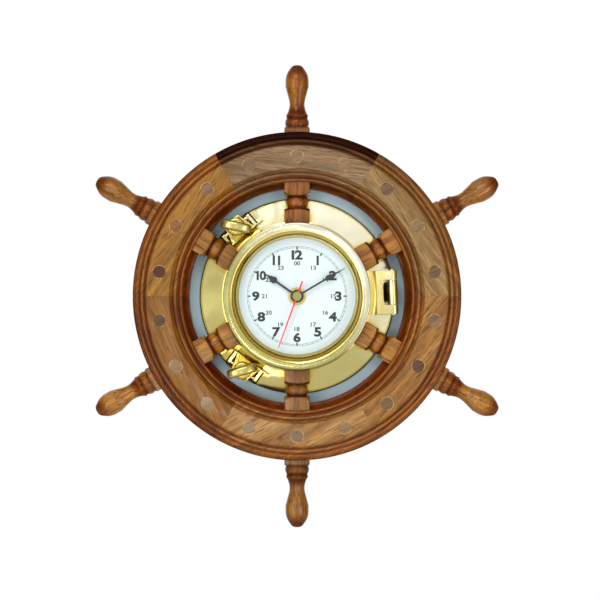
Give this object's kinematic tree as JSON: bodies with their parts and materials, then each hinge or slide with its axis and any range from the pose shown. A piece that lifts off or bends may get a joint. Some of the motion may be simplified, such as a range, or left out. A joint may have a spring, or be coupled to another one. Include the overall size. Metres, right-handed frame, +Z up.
{
  "type": "ship's wheel wall clock",
  "caption": "Quartz wall clock with hour, minute and second hands in a hinged brass porthole, set in a wooden ship's wheel with turned handles.",
  "frame": {"origin": "centre of the keyhole's round hole, on the wall, at the top of the wheel's back", "axes": "+Z up the wall, -Y out of the wall to the front of the dial, +X to the right as the dial is read"},
  "size_m": [0.3986, 0.0571, 0.457],
  "materials": {
    "felloe_1_wood": "glossy varnish",
    "felloe_2_wood": "glossy varnish",
    "felloe_3_wood": "glossy varnish",
    "felloe_4_wood": "glossy varnish",
    "felloe_5_wood": "glossy varnish",
    "felloe_6_wood": "glossy varnish",
    "spoke_wood": "glossy varnish",
    "rear_wood": "satin varnish",
    "plug_wood": "glossy varnish",
    "zinc_steel": "zinc plated",
    "board_paint": "satin paint",
    "cast_brass": "polished",
    "plain_brass": "polished",
    "black_rubber": "matte",
    "clear_glass": "clear",
    "dial_paint": "satin, printed in black",
    "hand_black": "satin",
    "hand_red": "satin",
    "case_plastic": "moulded",
    "train_plastic": "moulded",
    "battery_sleeve": "plain sleeve",
    "contact_steel": "nickel plated",
    "coil_winding": "enamelled wire",
    "board_laminate": "laminate"
  },
  "bodies": {
    "clock": {"front_felloe_1": "felloe_1_wood", "spoke_1": "spoke_wood", "front_felloe_2": "felloe_2_wood", "spoke_2": "spoke_wood", "front_felloe_3": "felloe_3_wood", "spoke_3": "spoke_wood", "front_felloe_4": "felloe_4_wood", "spoke_4": "spoke_wood", "front_felloe_5": "felloe_5_wood", "spoke_5": "spoke_wood", "front_felloe_6": "felloe_6_wood", "spoke_6": "spoke_wood", "rear_felloes": "rear_wood", "rim_plugs": "plug_wood", "rim_screws": "zinc_steel", "backboard": "board_paint", "backboard_screws": "zinc_steel", "hanger_plate": "plain_brass", "hanger_screws": "plain_brass", "porthole_gasket": "black_rubber", "porthole_body": "cast_brass", "flange_screws": "zinc_steel", "dog_pins": "zinc_steel", "dial": "dial_paint", "dial_ring": "plain_brass", "dial_washer": "plain_brass", "fixing_nut": "plain_brass", "movement_washer": "black_rubber", "movement_case_front": "case_plastic", "movement_case_back": "case_plastic", "battery": "battery_sleeve", "battery_contacts": "contact_steel", "circuit_board": "board_laminate", "quartz_crystal": "contact_steel", "coil": "coil_winding", "stator": "contact_steel"},
    "door": {"door_ring": "cast_brass", "door_glass": "clear_glass", "glass_gasket": "black_rubber", "glass_retainer": "plain_brass", "hinge_pin": "plain_brass"},
    "upper_dog": {"upper_dog_bolt": "plain_brass"},
    "upper_washer": {"upper_dog_washer": "plain_brass"},
    "upper_nut": {"upper_dog_nut": "cast_brass"},
    "lower_dog": {"lower_dog_bolt": "plain_brass"},
    "lower_washer": {"lower_dog_washer": "plain_brass"},
    "lower_nut": {"lower_dog_nut": "cast_brass"},
    "minute_hand": {"minute_cannon": "train_plastic", "minute_hand": "hand_black"},
    "hour_hand": {"hour_wheel": "train_plastic", "hour_hand": "hand_black"},
    "motion_wheel": {"motion_wheel": "train_plastic"},
    "setting_knob": {"setting_knob": "case_plastic"},
    "second_hand": {"second_wheel": "train_plastic", "second_hand": "hand_red", "second_hand_cap": "plain_brass"},
    "rotor": {"rotor": "train_plastic"},
    "intermediate_wheel": {"intermediate_wheel": "train_plastic"},
    "third_wheel": {"third_wheel": "train_plastic"},
    "centre_wheel": {"centre_wheel": "train_plastic"}
  },
  "joints": [
    {"name": "door_hinge", "type": "hinge", "parent": "clock", "child": "door", "pos_m": [0.09392, -0.038, -0.14406], "axis": [-0.0419, 0, 0.9991], "range_deg": [0, 110]},
    {"name": "upper_dog_swing", "type": "hinge", "parent": "clock", "child": "upper_dog", "pos_m": [-0.05987, -0.0125, -0.0796], "axis": [-0.7524, 0, -0.6587], "range_deg": [0, 26]},
    {"name": "upper_washer_slide", "type": "slide", "parent": "upper_dog", "child": "upper_washer", "axis": [0, -1, 0], "range_m": [0, 0.0075]},
    {"name": "upper_nut_turn", "type": "hinge", "parent": "upper_washer", "child": "upper_nut", "pos_m": [-0.05987, -0.0402, -0.0796], "axis": [0, -1, 0], "range_deg": [0, 1800]},
    {"name": "lower_dog_swing", "type": "hinge", "parent": "clock", "child": "lower_dog", "pos_m": [-0.05394, -0.0125, -0.22117], "axis": [0.8049, 0, -0.5934], "range_deg": [0, 26]},
    {"name": "lower_washer_slide", "type": "slide", "parent": "lower_dog", "child": "lower_washer", "axis": [0, -1, 0], "range_m": [0, 0.0075]},
    {"name": "lower_nut_turn", "type": "hinge", "parent": "lower_washer", "child": "lower_nut", "pos_m": [-0.05394, -0.0402, -0.22117], "axis": [0, -1, 0], "range_deg": [0, 1800]},
    {"name": "minute_hand_turn", "type": "hinge", "parent": "clock", "child": "minute_hand", "pos_m": [0, -0.0322, -0.148], "axis": [0, 1, 0], "continuous": true},
    {"name": "hour_hand_turn", "type": "hinge", "parent": "clock", "child": "hour_hand", "pos_m": [0, -0.0309, -0.148], "axis": [0, 1, 0], "continuous": true},
    {"name": "motion_wheel_turn", "type": "hinge", "parent": "clock", "child": "motion_wheel", "pos_m": [0, -0.0199, -0.138], "axis": [0, 1, 0], "continuous": true},
    {"name": "setting_knob_turn", "type": "hinge", "parent": "clock", "child": "setting_knob", "pos_m": [-0.00862, -0.009, -0.13077], "axis": [0, 1, 0], "continuous": true},
    {"name": "second_hand_turn", "type": "hinge", "parent": "clock", "child": "second_hand", "pos_m": [0, -0.0335, -0.148], "axis": [0, 1, 0], "continuous": true},
    {"name": "intermediate_wheel_turn", "type": "hinge", "parent": "clock", "child": "intermediate_wheel", "pos_m": [0.00909, -0.0119, -0.14275], "axis": [0, 1, 0], "continuous": true},
    {"name": "rotor_turn", "type": "hinge", "parent": "clock", "child": "rotor", "pos_m": [0.01755, -0.0153, -0.13967], "axis": [0, 1, 0], "continuous": true},
    {"name": "third_wheel_turn", "type": "hinge", "parent": "clock", "child": "third_wheel", "pos_m": [-0.00883, -0.0159, -0.1429], "axis": [0, 1, 0], "continuous": true},
    {"name": "centre_wheel_turn", "type": "hinge", "parent": "clock", "child": "centre_wheel", "pos_m": [0, -0.0179, -0.148], "axis": [0, 1, 0], "continuous": true}
  ],
  "couplings": [
    {"joint": "upper_washer_slide", "follows": "upper_nut_turn", "m_per_rad": 0.00023873},
    {"joint": "lower_washer_slide", "follows": "lower_nut_turn", "m_per_rad": 0.00023873},
    {"joint": "hour_hand_turn", "follows": "minute_hand_turn", "ratio": 0.083333},
    {"joint": "motion_wheel_turn", "follows": "minute_hand_turn", "ratio": -0.33333},
    {"joint": "setting_knob_turn", "follows": "minute_hand_turn", "ratio": 0.66667},
    {"joint": "intermediate_wheel_turn", "follows": "second_hand_turn", "ratio": -6},
    {"joint": "rotor_turn", "follows": "second_hand_turn", "ratio": 30},
    {"joint": "third_wheel_turn", "follows": "second_hand_turn", "ratio": -0.13333},
    {"joint": "centre_wheel_turn", "follows": "second_hand_turn", "ratio": 0.016667}
  ]
}
